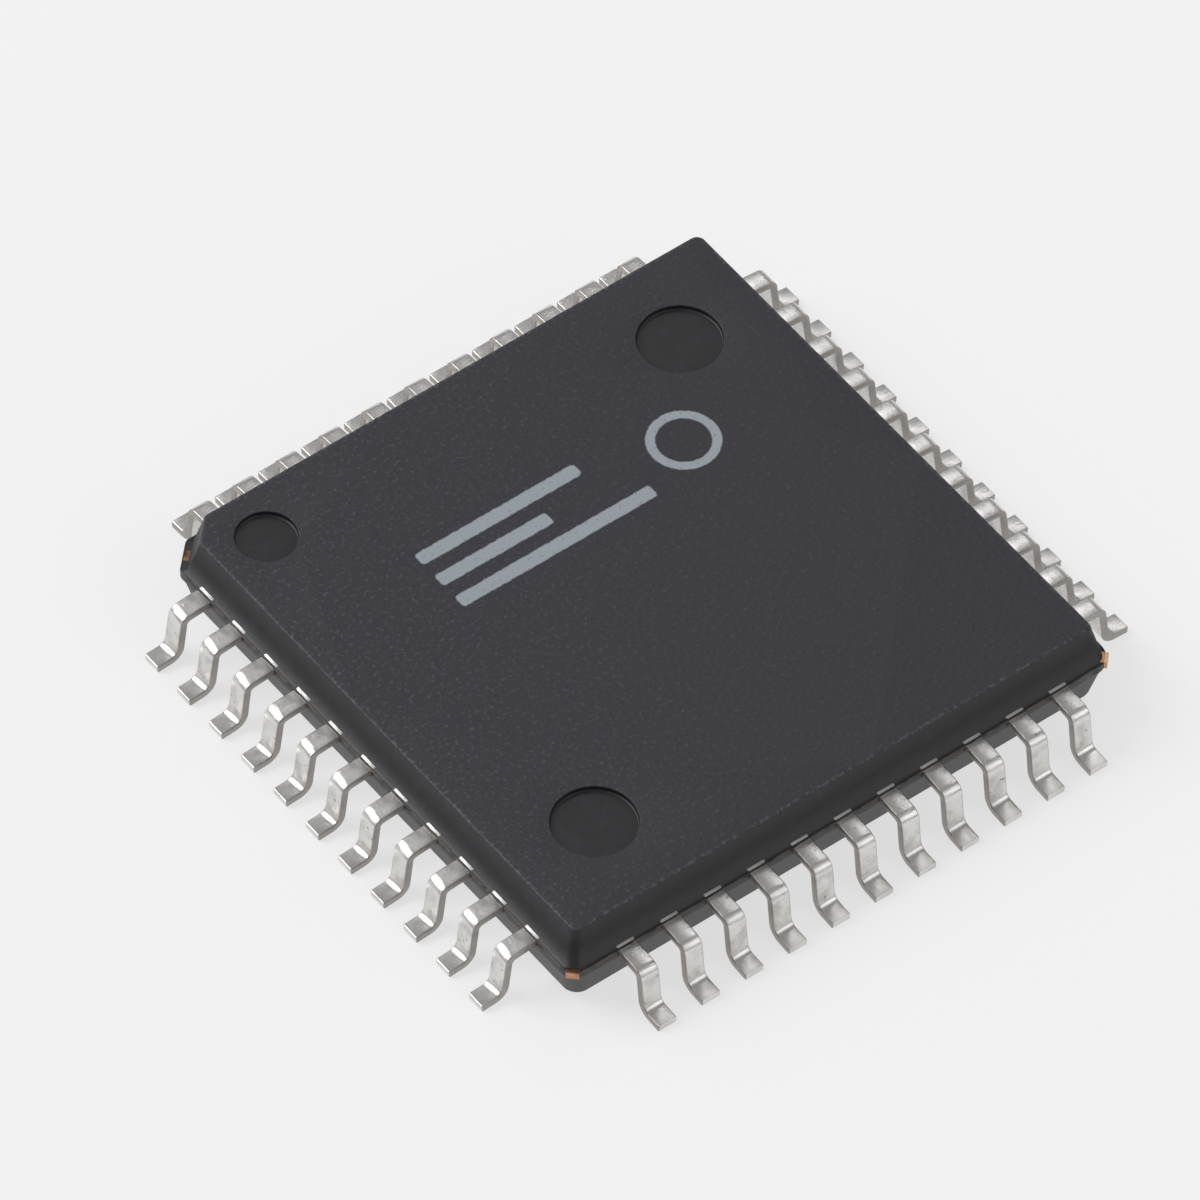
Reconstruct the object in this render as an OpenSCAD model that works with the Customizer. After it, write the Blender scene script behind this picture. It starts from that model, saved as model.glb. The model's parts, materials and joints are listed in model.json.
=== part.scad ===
// Low-profile quad flat pack chip: a moulded body, 44 formed leads on four sides,
// and the die pad, die and bond wires that the moulding seals in.
//
// Origin: centre of the footprint, on the plane that the solder feet stand on. +Z is up.
// Pin 1 is at the (-X, +Y) corner, and the pins count anticlockwise seen from above.
// Every lead and bond wire is drawn in a side's own frame, in which +X points out of the
// body and Y runs along the side, and is then turned to its side.

/* [Moulded body] */
// Side of the lower half where it meets the lead frame
body_side = 10; // [9.6:0.05:10.4]
// How far the upper half stands back from the lower half, on each side
upper_setback = 0.05; // [0.02:0.01:0.08]
// How far the resin between the leads stands out past the lower half
resin_proud = 0.03; // [0.01:0.005:0.05]
// Height of the lower half, up to the lead frame
lower_height = 0.66; // [0.6:0.01:0.8]
// Height of the upper half, down to the lead frame
upper_height = 0.66; // [0.6:0.01:0.8]
// Clear height under the body
standoff = 0.15; // [0.05:0.01:0.2]
// Draft of the moulded sides, in degrees from upright
draft = 13; // [8:0.5:15]
// Radius of the upright corners at the top and bottom faces
corner_r = 0.13; // [0.08:0.01:0.2]
// Leg of the corner cut that marks pin 1, at the top and bottom faces
pin_one_cut = 0.4; // [0.36:0.01:0.5]

/* [Moulded recesses] */
// Radius of the round recess that marks pin 1
index_r = 0.48; // [0.3:0.01:0.55]
// Distance of that recess's centre from the body's sides
index_inset = 1.08; // [0.9:0.01:1.3]
// Radius of the two ejector pin recesses in the top face
ejector_r = 0.66; // [0.4:0.01:0.7]
// Distance of their centres from the body's sides
ejector_inset = 1.69; // [1.4:0.01:2]
// Depth of the recesses in the top face
recess_depth = 0.09; // [0.05:0.01:0.14]
// Radius between a recess's wall and its floor
recess_fillet = 0.03; // [0.01:0.005:0.04]
// Radius of the two ejector pin marks in the bottom face
under_mark_r = 0.5; // [0.3:0.01:0.6]
// Depth of those marks
under_mark_depth = 0.05; // [0.02:0.01:0.08]

/* [Outer leads] */
// Leads on each side
leads_per_side = 11; // [7:1:11]
// Distance from the body's side to the middle of the lead nearest to it
end_margin = 1; // [0.9:0.05:1.1]
// How far a lead's tip reaches out from the body's side
lead_reach = 1; // [0.9:0.01:1.15]
// Width of a lead outside the body
lead_w = 0.33; // [0.28:0.01:0.38]
// Thickness of the lead frame's sheet
sheet_t = 0.13; // [0.1:0.01:0.15]
// Length of the flat part of a solder foot
foot_flat = 0.27; // [0.2:0.01:0.35]
// Inside radius of the bend from the leg to the foot
foot_bend_r = 0.15; // [0.1:0.01:0.18]
// Inside radius of the bend at the lead's shoulder
shoulder_r = 0.06; // [0.04:0.01:0.1]
// Inside radius of the slight bend beside the body
root_bend_r = 0.235; // [0.15:0.005:0.3]
// Slope of the shoulder's flat, in degrees below level
shoulder_slope = 6; // [2:0.5:8]
// Slope of the leg, in degrees below level
leg_slope = 82; // [78:0.5:86]

/* [Inner lead frame] */
// Side of the die pad
pad_side = 4.2; // [3.9:0.05:4.4]
// How far the die pad is set down below the leads
pad_downset = 0.22; // [0.18:0.01:0.3]
// Gap between the die pad's edge and the finger tips
finger_gap = 0.6; // [0.5:0.01:0.7]
// Gap between one finger tip and the next
tip_gap = 0.23; // [0.18:0.01:0.27]
// Gap between the last finger tip of a side and the tie bar beside it
tie_gap = 0.2; // [0.15:0.01:0.3]
// Length of a lead's straight part inside the body
straight_in = 0.5; // [0.45:0.01:0.55]
// Width across the wings that lock a lead in the resin
lock_w = 0.45; // [0.4:0.01:0.48]
// Length of those wings
lock_len = 0.16; // [0.1:0.01:0.2]
// Distance from the body's side to the wings
lock_inset = 0.22; // [0.18:0.01:0.24]
// Width of the tie bars that hold the die pad
tie_w = 0.2; // [0.15:0.01:0.22]
// Slope of the tie bars up from the die pad, in degrees
tie_slope = 30; // [20:1:40]
// Inside radius of the tie bars' bends
tie_bend_r = 0.1; // [0.05:0.01:0.15]
// Distance from the body's axis to the foot of that slope, along the diagonal
tie_slope_start = 4.5; // [4:0.05:4.9]
// How far the cut end of a tie bar stands out of the body's corner
tie_stub = 0.03; // [0.01:0.01:0.05]

/* [Die and bond wires] */
// Side of the die
die_side = 3.1; // [2.8:0.05:3.3]
// Thickness of the die
die_t = 0.28; // [0.2:0.01:0.3]
// How far the die attach spreads past the die, on each side
attach_margin = 0.06; // [0.02:0.01:0.1]
// Thickness of the die attach
attach_t = 0.03; // [0.02:0.005:0.05]
// Diameter of a bond wire
wire_d = 0.03; // [0.02:0.005:0.03]
// Distance of the bond pads from the die's edge
bond_inset = 0.12; // [0.1:0.01:0.14]
// Distance that the last bond pad of a side keeps from the pads of the next side
bond_corner = 0.18; // [0.14:0.01:0.25]
// Distance of a wire's weld from its finger's tip
weld_inset = 0.15; // [0.1:0.01:0.2]
// Diameter of the ball at the die and of the weld at the finger
ball_d = 0.09; // [0.07:0.01:0.1]
// Height of the ball and of the weld
ball_h = 0.035; // [0.032:0.001:0.04]
// Radius of a wire's bend over its ball, on its centre line
wire_bend_r = 0.15; // [0.1:0.01:0.18]

/* [Hidden] */
$fn = 72;
// How far a cutting tool runs past the face that it opens, and how far the rooms of two inner
// pieces that touch run into each other
past = 0.2;
room_overlap = 0.02;

pin_count = 4 * leads_per_side;
pitch = (body_side - 2 * end_margin) / (leads_per_side - 1);
body_half = body_side / 2;
upper_half = body_half - upper_setback;
ledge_half = body_half + resin_proud;
frame_bottom = standoff + lower_height;
frame_top = frame_bottom + sheet_t;
body_top = frame_top + upper_height;

// How far a drafted side leans in over a height, and how far the pin 1 cut lies from the
// axis of a face with this half side
function lean(height) = height * tan(draft);
function cut_reach(face_half) = (2 * face_half - pin_one_cut) / sqrt(2);
ledge_corner_r = corner_r + lean(lower_height) + resin_proud;
ledge_corner_reach = (ledge_half - ledge_corner_r) * sqrt(2) + ledge_corner_r;
ledge_cut_reach = cut_reach(body_half - lean(lower_height)) + lean(lower_height) + resin_proud;

// Along its underside, a lead bends at the root and the shoulder with the inside radius, and
// at the foot with the outside one. The shoulder's flat and the leg take up what the bends and
// the foot leave of the lead's run out to its tip and of its drop down to the seating plane
foot_under_r = foot_bend_r + sheet_t;
lead_run = lead_reach - resin_proud - foot_flat - root_bend_r * sin(shoulder_slope)
    - shoulder_r * (sin(leg_slope) - sin(shoulder_slope)) - foot_under_r * sin(leg_slope);
lead_drop = frame_bottom - root_bend_r * (1 - cos(shoulder_slope))
    - shoulder_r * (cos(shoulder_slope) - cos(leg_slope)) - foot_under_r * (1 - cos(leg_slope));
bend_sine = sin(leg_slope - shoulder_slope);
shoulder_flat = (lead_run * sin(leg_slope) - lead_drop * cos(leg_slope)) / bend_sine;
leg_len = (lead_drop * cos(shoulder_slope) - lead_run * sin(shoulder_slope)) / bend_sine;

pad_half = pad_side / 2;
pad_bottom = frame_bottom - pad_downset;
pad_top = pad_bottom + sheet_t;
// The finger tips share out the room between two tie bars, whose middles cross tip_x at 45
// degrees
tip_x = pad_half + finger_gap;
tip_room = tip_x - tie_w / sqrt(2) - tie_gap;
tip_pitch = (2 * tip_room + tip_gap) / leads_per_side;
tip_w = tip_pitch - tip_gap;
elbow_x = body_half - straight_in;
tie_bends_r = 2 * tie_bend_r + sheet_t;
tie_ramp_len = (pad_downset - tie_bends_r * (1 - cos(tie_slope))) / sin(tie_slope);
tie_ramp_run = tie_bends_r * sin(tie_slope) + tie_ramp_len * cos(tie_slope);

attach_half = die_side / 2 + attach_margin;
die_bottom = pad_top + attach_t;
die_top = die_bottom + die_t;
wire_r = wire_d / 2;
bond_x = die_side / 2 - bond_inset;
bond_pitch = 2 * (bond_x - bond_corner) / (leads_per_side - 1);
weld_x = tip_x + weld_inset;

function lead_name(pin) = str("lead_", pin < 10 ? "0" : "", pin);
function wires_name(side) = str("bond_wires_", ["left", "front", "right", "back"][side]);

// Place of a lead along its side, and of its finger tip, its bond pad and its weld
function from_middle(rank) = rank - (leads_per_side - 1) / 2;
function lead_y(rank) = from_middle(rank) * pitch;
function tip_y(rank) = from_middle(rank) * tip_pitch;
function bond_y(rank) = from_middle(rank) * bond_pitch;
function weld_y(rank) = tip_y(rank) + (lead_y(rank) - tip_y(rank)) * weld_inset / (elbow_x - tip_x);

// Turns a side's own frame to its side: 0 is -X, 1 is -Y, 2 is +X and 3 is +Y
module on_side(side) rotate(180 + 90 * side) children();

// A square prism with rounded corners, whose sides lean in as it rises by its draft, and
// whose corner at pin 1 is cut off; its large face is at the bottom
module drafted_half(base_half, height) {
    inset = lean(height);
    axis = base_half - inset - corner_r;
    difference() {
        union() {
            for (turn = [0, 90])
                rotate([90, 0, turn]) linear_extrude(2 * axis, center = true) polygon([
                    [-base_half, 0], [base_half, 0],
                    [base_half - inset, height], [inset - base_half, height]
                ]);
            // Each corner starts its round facing the middle of the body
            for (turn = [0 : 90 : 270])
                rotate(turn) translate([axis, axis]) rotate(225)
                    cylinder(h = height, r1 = corner_r + inset, r2 = corner_r);
        }
        pin_one_corner(cut_reach(base_half - inset), height);
    }
}

// What the cut at pin 1 takes off: everything beyond a plane that leans with the draft and
// lies this far from the axis at the small face
module pin_one_corner(reach, height) {
    far = body_side;
    rotate([90, 0, 135]) linear_extrude(body_side, center = true) polygon([
        [reach + lean(height + past), -past], [far, -past],
        [far, height + past], [reach - lean(past), height + past]
    ]);
}

// The resin that fills the gaps between the leads, as thick as their sheet
module resin_ledge() {
    axis = ledge_half - ledge_corner_r;
    linear_extrude(sheet_t) difference() {
        union() {
            for (x = [-axis, axis], y = [-axis, axis]) translate([x, y]) circle(ledge_corner_r);
            square([2 * ledge_half, 2 * axis], center = true);
            square([2 * axis, 2 * ledge_half], center = true);
        }
        rotate(135) translate([ledge_cut_reach, -body_half]) square(body_side);
    }
}

// A round recess with a filleted floor, opening upwards at z = 0
module top_recess(r) {
    translate([0, 0, -recess_depth]) rotate_extrude() {
        square([r - recess_fillet, recess_depth + past]);
        translate([0, recess_fillet]) square([r, recess_depth - recess_fillet + past]);
        translate([r - recess_fillet, recess_fillet]) circle(recess_fillet);
    }
}

// The body's outer form: two drafted halves on either side of the resin ledge
module body_form() {
    index_at = body_half - index_inset;
    ejector_at = body_half - ejector_inset;
    difference() {
        union() {
            translate([0, 0, frame_top]) drafted_half(upper_half, upper_height);
            translate([0, 0, frame_bottom]) resin_ledge();
            // Turned over about the pin 1 diagonal, so that both halves have the same corner cut
            translate([0, 0, frame_bottom]) rotate([180, 0, -90]) drafted_half(body_half, lower_height);
        }
        translate([-index_at, index_at, body_top]) top_recess(index_r);
        for (side = [-1, 1]) {
            translate([side * ejector_at, side * ejector_at, body_top]) top_recess(ejector_r);
            translate([side * ejector_at, side * ejector_at, standoff - past])
                cylinder(h = under_mark_depth + past, r = under_mark_r);
        }
    }
}

module mould_body() {
    color("#2a292e") difference() {
        body_form();
        for (pin = [1 : pin_count]) lead_room(pin);
        die_pad();
        die_room();
        for (side = [0 : 3]) bond_wires(side, room_overlap);
    }
}

// Lengths and bends of a strip of the sheet, one after the other: each step is
// ["run", length] or ["bend", inside radius, degrees], where a bend to the left is positive.
// The strip's right-hand face starts at y = 0
module strip_steps(steps, width, at = 0) {
    if (at < len(steps)) {
        size = steps[at][1];
        if (steps[at][0] == "run") {
            translate([0, 0, -width / 2]) cube([size, sheet_t, width]);
            translate([size, 0]) strip_steps(steps, width, at + 1);
        } else {
            turn = steps[at][2];
            centre = [0, turn > 0 ? size + sheet_t : -size];
            translate(centre) {
                rotate(-sign(turn) * 90) rotate_extrude(angle = turn)
                    translate([size, -width / 2]) square([sheet_t, width]);
                rotate(turn) translate(-centre) strip_steps(steps, width, at + 1);
            }
        }
    }
}

// A strip of this width whose underside sets off along +X, and which bends up and down
module formed_strip(steps, width) rotate([90, 0, 0]) strip_steps(steps, width);

// The finger inside the body: it runs from its tip by the die pad out to end_x, with wings
// that lock it
module finger(rank, end_x) {
    y = lead_y(rank);
    wings_x = body_half - lock_inset - lock_len;
    translate([0, 0, frame_bottom]) linear_extrude(sheet_t) polygon([
        [tip_x, tip_y(rank) - tip_w / 2], [elbow_x, y - lead_w / 2], [end_x, y - lead_w / 2],
        [end_x, y + lead_w / 2], [elbow_x, y + lead_w / 2], [tip_x, tip_y(rank) + tip_w / 2]
    ]);
    translate([wings_x, y - lock_w / 2, frame_bottom]) cube([lock_len, lock_w, sheet_t]);
}

module lead(pin) {
    rank = (pin - 1) % leads_per_side;
    color("silver") on_side(floor((pin - 1) / leads_per_side)) {
        finger(rank, ledge_half);
        translate([ledge_half, lead_y(rank), frame_bottom]) formed_strip([
            ["bend", root_bend_r, -shoulder_slope],
            ["run", shoulder_flat],
            ["bend", shoulder_r, shoulder_slope - leg_slope],
            ["run", leg_len],
            ["bend", foot_bend_r, leg_slope],
            ["run", foot_flat]
        ], lead_w);
    }
}

// The room that a lead takes in the resin
module lead_room(pin)
    on_side(floor((pin - 1) / leads_per_side)) finger((pin - 1) % leads_per_side, ledge_half + past);

// One stamping: the pad that carries the die, and the four bars that tied it to the strip
module die_pad() {
    start = pad_half * sqrt(2) - tie_w;
    color("peru") {
        translate([-pad_half, -pad_half, pad_bottom]) cube([pad_side, pad_side, sheet_t]);
        for (corner = [0 : 3]) {
            reach = corner == 1 ? ledge_cut_reach : ledge_corner_reach;
            rotate(45 + 90 * corner) translate([start, 0, pad_bottom]) formed_strip([
                ["run", tie_slope_start - start],
                ["bend", tie_bend_r, tie_slope],
                ["run", tie_ramp_len],
                ["bend", tie_bend_r, -tie_slope],
                ["run", reach + tie_stub - tie_slope_start - tie_ramp_run]
            ], tie_w);
        }
    }
}

module die_attach() {
    color("lightgray") translate([-attach_half, -attach_half, pad_top])
        cube([2 * attach_half, 2 * attach_half, attach_t]);
}

module die() {
    color("slategray") translate([-die_side / 2, -die_side / 2, die_bottom])
        cube([die_side, die_side, die_t]);
}

// The room that the die and its attach take above the pad, which runs on into the pad's own
module die_room() {
    for (stage = [[attach_half, die_bottom], [die_side / 2, die_top]])
        translate([-stage[0], -stage[0], pad_top - room_overlap])
            cube([2 * stage[0], 2 * stage[0], stage[1] - pad_top + room_overlap]);
}

// A wire from its ball on the die, up, over and down to its weld on the finger. The ball and
// the weld can be sunk into what they stand on
module bond_wire(rank, sunk) {
    run = norm([weld_x - bond_x, weld_y(rank) - bond_y(rank)]);
    heading = atan2(weld_y(rank) - bond_y(rank), weld_x - bond_x);
    // The bend starts in the middle of the ball, and the straight part leaves it on the
    // tangent that meets the middle of the weld
    drop = die_top - frame_top;
    to_weld = norm([run - wire_bend_r, drop]);
    descent = atan2(drop, run - wire_bend_r) + asin(wire_bend_r / to_weld);
    straight = sqrt(to_weld * to_weld - wire_bend_r * wire_bend_r);
    translate([bond_x, bond_y(rank), die_top]) rotate(heading) {
        for (foot = [[0, 0, 0], [run, 0, -drop]])
            translate(foot - [0, 0, sunk]) cylinder(h = ball_h + sunk, d = ball_d);
        translate([wire_bend_r, 0, ball_h / 2]) rotate([90, 0, 0]) rotate(90 - descent) {
            rotate_extrude(angle = 90 + descent) translate([wire_bend_r, 0]) circle(wire_r);
            translate([wire_bend_r, 0, 0]) rotate([90, 0, 0]) cylinder(h = straight, r = wire_r);
        }
    }
}

module bond_wires(side, sunk = 0) {
    color("gold") on_side(side) for (rank = [0 : leads_per_side - 1]) bond_wire(rank, sunk);
}

mould_body();
for (pin = [1 : pin_count]) lead(pin);
die_pad();
die_attach();
die();
for (side = [0 : 3]) bond_wires(side);
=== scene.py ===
"""Dressed scene of a quad flat pack chip.

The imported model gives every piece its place. This script adds what the solids leave plain: the
rounded and textured moulding, the formed and plated leads, the finish of the pieces sealed
inside, and a plain studio round them. Lengths are in millimetres until they become vertices.
"""

import json
import logging
import math
import random
from collections.abc import Iterator
from dataclasses import dataclass, field
from enum import Enum

import bmesh
import bpy
from mathutils import Matrix, Vector
from mathutils.geometry import delaunay_2d_cdt

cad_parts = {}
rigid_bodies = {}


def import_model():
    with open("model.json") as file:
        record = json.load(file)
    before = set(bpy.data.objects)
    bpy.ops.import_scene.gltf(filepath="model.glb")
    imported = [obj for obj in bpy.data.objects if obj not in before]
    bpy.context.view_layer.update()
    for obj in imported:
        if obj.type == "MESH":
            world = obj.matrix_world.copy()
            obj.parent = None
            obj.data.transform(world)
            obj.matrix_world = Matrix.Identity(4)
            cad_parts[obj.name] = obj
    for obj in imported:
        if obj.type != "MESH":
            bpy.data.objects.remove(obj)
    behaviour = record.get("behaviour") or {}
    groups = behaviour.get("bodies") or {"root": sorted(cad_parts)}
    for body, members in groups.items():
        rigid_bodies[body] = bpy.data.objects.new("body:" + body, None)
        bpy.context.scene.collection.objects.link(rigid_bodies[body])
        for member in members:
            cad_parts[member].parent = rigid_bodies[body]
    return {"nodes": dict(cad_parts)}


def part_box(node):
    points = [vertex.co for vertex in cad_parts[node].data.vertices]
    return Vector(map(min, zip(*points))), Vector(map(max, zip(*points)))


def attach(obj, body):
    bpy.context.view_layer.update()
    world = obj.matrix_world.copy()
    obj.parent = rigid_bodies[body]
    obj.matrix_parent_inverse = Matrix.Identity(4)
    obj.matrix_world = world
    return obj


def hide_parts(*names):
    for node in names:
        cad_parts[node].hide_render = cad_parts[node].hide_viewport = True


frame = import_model()
log = logging.getLogger("quad_flat_pack")

MM = 0.001
FLAT_FACE_WEIGHT = 100
BODY_WELD = 1e-5
SOLID_WELD = 1e-7
FILL_LOOPS = 2
SAME_POINT = 1e-6

Point = tuple[float, float]
Colour = tuple[float, float, float]


class Side(Enum):
    """The body's four sides, in the order in which the pins count round it."""

    LEFT = 0
    FRONT = 1
    RIGHT = 2
    BACK = 3

    @property
    def turn(self) -> float:
        """Angle from a side's own frame, whose +X points out of the body, in radians."""
        return math.pi + self.value * math.pi / 2


# Shader maths


class Value:
    """A number that varies over a surface, on which Python's operators add Math nodes."""

    def __init__(self, shader: "Shader", socket: bpy.types.NodeSocket) -> None:
        """Wraps a value socket.

        Args:
            shader: The material's tree that the socket belongs to.
            socket: The socket that gives the number.
        """
        self.shader = shader
        self.socket = socket

    def _with(self, operation: str, *others: "Value | float") -> "Value":
        """Adds one Math node.

        Args:
            operation: The Math node's operation.
            *others: Its further operands.

        Returns:
            The result.
        """
        return self.shader.math(operation, self, *others)

    def __add__(self, other: "Value | float") -> "Value":
        """Sum."""
        return self._with("ADD", other)

    __radd__ = __add__

    def __sub__(self, other: "Value | float") -> "Value":
        """Difference."""
        return self._with("SUBTRACT", other)

    def __rsub__(self, other: float) -> "Value":
        """Difference from a number."""
        return self.shader.math("SUBTRACT", other, self)

    def __mul__(self, other: "Value | float") -> "Value":
        """Product."""
        return self._with("MULTIPLY", other)

    __rmul__ = __mul__

    def __pow__(self, other: float) -> "Value":
        """Power."""
        return self._with("POWER", other)

    def __abs__(self) -> "Value":
        """Size without its sign."""
        return self._with("ABSOLUTE")

    def max(self, other: "Value | float") -> "Value":
        """The larger of the two."""
        return self._with("MAXIMUM", other)

    def min(self, other: "Value | float") -> "Value":
        """The smaller of the two."""
        return self._with("MINIMUM", other)

    def rise(self, low: float, high: float) -> "Value":
        """Ramps smoothly from 0 at one value to 1 at another.

        Args:
            low: The value that gives 0.
            high: The value that gives 1, which may be the lower of the two.

        Returns:
            The ramp.
        """
        mapped = self.shader.node(
            "ShaderNodeMapRange",
            {"interpolation_type": "SMOOTHSTEP"},
            {"Value": self, "From Min": low, "From Max": high},
        )
        return Value(self.shader, mapped.outputs["Result"])

    def band(self, low: float, high: float, soft: float) -> "Value":
        """Is 1 between two values and 0 outside them, with soft edges.

        Args:
            low: Where the band begins.
            high: Where it ends.
            soft: Width of each edge.

        Returns:
            The mask.
        """
        return self.rise(low - soft / 2, low + soft / 2) * self.rise(high + soft / 2, high - soft / 2)


class Shader:
    """A material's node tree, with one Principled shader."""

    def __init__(self, name: str, **constants: float | Colour) -> None:
        """Makes a material and its shader.

        Args:
            name: The material's name.
            **constants: Sockets of the shader that hold one value, with _ for a space.
        """
        self.material = bpy.data.materials.new(name)
        self.material.use_nodes = True
        self.tree = self.material.node_tree
        self.tree.nodes.clear()
        self.surface = self.tree.nodes.new("ShaderNodeBsdfPrincipled")
        self.output = self.tree.nodes.new("ShaderNodeOutputMaterial")
        self.tree.links.new(self.surface.outputs["BSDF"], self.output.inputs["Surface"])
        for socket, value in constants.items():
            self._fill(self.surface.inputs[socket.replace("_", " ")], value)

    def _fill(self, socket: bpy.types.NodeSocket, value: object) -> None:
        """Links or sets an input.

        Args:
            socket: The input.
            value: A Value, an output socket, a number, a vector or a colour.
        """
        if isinstance(value, Value):
            value = value.socket
        if isinstance(value, bpy.types.NodeSocket):
            self.tree.links.new(value, socket)
        elif socket.type == "RGBA":
            socket.default_value = (*value, 1.0)
        else:
            socket.default_value = value

    def node(
        self, kind: str, settings: dict[str, object], inputs: dict[str | int, object]
    ) -> bpy.types.Node:
        """Adds a node.

        Args:
            kind: The node's type.
            settings: Its settings, which are set first.
            inputs: Values or links of its inputs, by name or place.

        Returns:
            The node.
        """
        node = self.tree.nodes.new(kind)
        for setting, value in settings.items():
            setattr(node, setting, value)
        for socket, value in inputs.items():
            self._fill(node.inputs[socket], value)
        return node

    def math(self, operation: str, *operands: Value | float) -> Value:
        """Adds a Math node.

        Args:
            operation: The operation.
            *operands: Its operands in order.

        Returns:
            The result.
        """
        node = self.node("ShaderNodeMath", {"operation": operation}, dict(enumerate(operands)))
        return Value(self, node.outputs[0])

    def place(self) -> tuple[Value, Value, Value]:
        """The place on the piece, in millimetres, as three values."""
        coordinates = self.node("ShaderNodeTexCoord", {}, {})
        in_mm = self.node(
            "ShaderNodeVectorMath", {"operation": "SCALE"},
            {0: coordinates.outputs["Object"], "Scale": 1 / MM},
        )
        split = self.node("ShaderNodeSeparateXYZ", {}, {0: in_mm.outputs[0]})
        return tuple(Value(self, output) for output in split.outputs)

    def vector(self, x: Value | float, y: Value | float, z: Value | float) -> bpy.types.NodeSocket:
        """Joins three numbers to a vector."""
        return self.node("ShaderNodeCombineXYZ", {}, {0: x, 1: y, 2: z}).outputs[0]

    def noise(
        self, vector: bpy.types.NodeSocket, scale: float, detail: float = 2.0, rough: float = 0.5
    ) -> Value:
        """Cloudy noise about 0.5.

        Args:
            vector: Where it is read.
            scale: Its cells to a unit of the vector.
            detail: How many finer layers it has.
            rough: Weight of the finer layers.

        Returns:
            The noise.
        """
        node = self.node(
            "ShaderNodeTexNoise", {},
            {"Vector": vector, "Scale": scale, "Detail": detail, "Roughness": rough},
        )
        return Value(self, node.outputs["Fac"])

    def grains(self, vector: bpy.types.NodeSocket, scale: float) -> Value:
        """Distance from the middles of small irregular cells."""
        node = self.node("ShaderNodeTexVoronoi", {"feature": "F1"}, {"Vector": vector, "Scale": scale})
        return Value(self, node.outputs["Distance"])

    def attribute(self, name: str) -> Value:
        """A number that the mesh carries."""
        return Value(self, self.node("ShaderNodeAttribute", {"attribute_name": name}, {}).outputs["Fac"])

    def blend(self, mask: Value, first: object, second: object) -> bpy.types.NodeSocket:
        """Mixes two colours.

        Args:
            mask: 0 for the first colour and 1 for the second.
            first: A colour or a colour socket.
            second: A colour or a colour socket.

        Returns:
            The mixed colour.
        """
        node = self.tree.nodes.new("ShaderNodeMix")
        node.data_type = "RGBA"
        factor, *_, a, b = [socket for socket in node.inputs if socket.enabled]
        for socket, value in ((factor, mask), (a, first), (b, second)):
            self._fill(socket, value)
        return next(socket for socket in node.outputs if socket.enabled)

    def relief(
        self, height: Value, depth: float, under: bpy.types.NodeSocket | None = None
    ) -> bpy.types.NodeSocket:
        """Turns a height into a normal.

        Args:
            height: The relief, 0 to 1.
            depth: How high 1 stands, in millimetres.
            under: A normal that this relief adds to.

        Returns:
            The normal.
        """
        inputs = {"Height": height, "Distance": depth * MM, "Strength": 1.0}
        if under is not None:
            inputs["Normal"] = under
        return self.node("ShaderNodeBump", {}, inputs).outputs["Normal"]

    def finish(self, **sockets: object) -> bpy.types.Material:
        """Links what varies to the shader.

        Args:
            **sockets: The shader's sockets, with _ for a space.

        Returns:
            The finished material.
        """
        for name, value in sockets.items():
            self._fill(self.surface.inputs[name.replace("_", " ")], value)
        return self.material


# Finishes


@dataclass(frozen=True)
class PrintedMarks:
    """A plain mark in pale ink on the top face: stepped bars beside a ring. Millimetres."""

    bars: tuple[tuple[float, float, float], ...] = (
        (-2.4, 0.55, 2.2),
        (-2.4, -0.35, 1.7),
        (-2.4, 1.2, 1.2),
    )
    bar_height: float = 0.24
    bar_round: float = 0.06
    ring: tuple[float, float] = (2.15, 1.7)
    ring_radius: float = 0.5
    ring_width: float = 0.15
    soft: float = 0.03

    def mask(self, shader: Shader, x: Value, y: Value) -> Value:
        """Where the ink lies.

        Args:
            shader: The body's material; not used.
            x: Place on the body.
            y: Place on the body.

        Returns:
            1 on the ink and 0 beside it.
        """
        reach = ((x - self.ring[0]) ** 2 + (y - self.ring[1]) ** 2) ** 0.5
        distance = abs(reach - self.ring_radius) - self.ring_width / 2
        for left, right, height in self.bars:
            half_length = (right - left) / 2 - self.bar_round
            aside = (abs(x - (left + right) / 2) - half_length).max(0.0)
            above = (abs(y - height) - (self.bar_height / 2 - self.bar_round)).max(0.0)
            distance = distance.min((aside ** 2 + above ** 2) ** 0.5 - self.bar_round)
        return distance.rise(self.soft / 2, -self.soft / 2)


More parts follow.
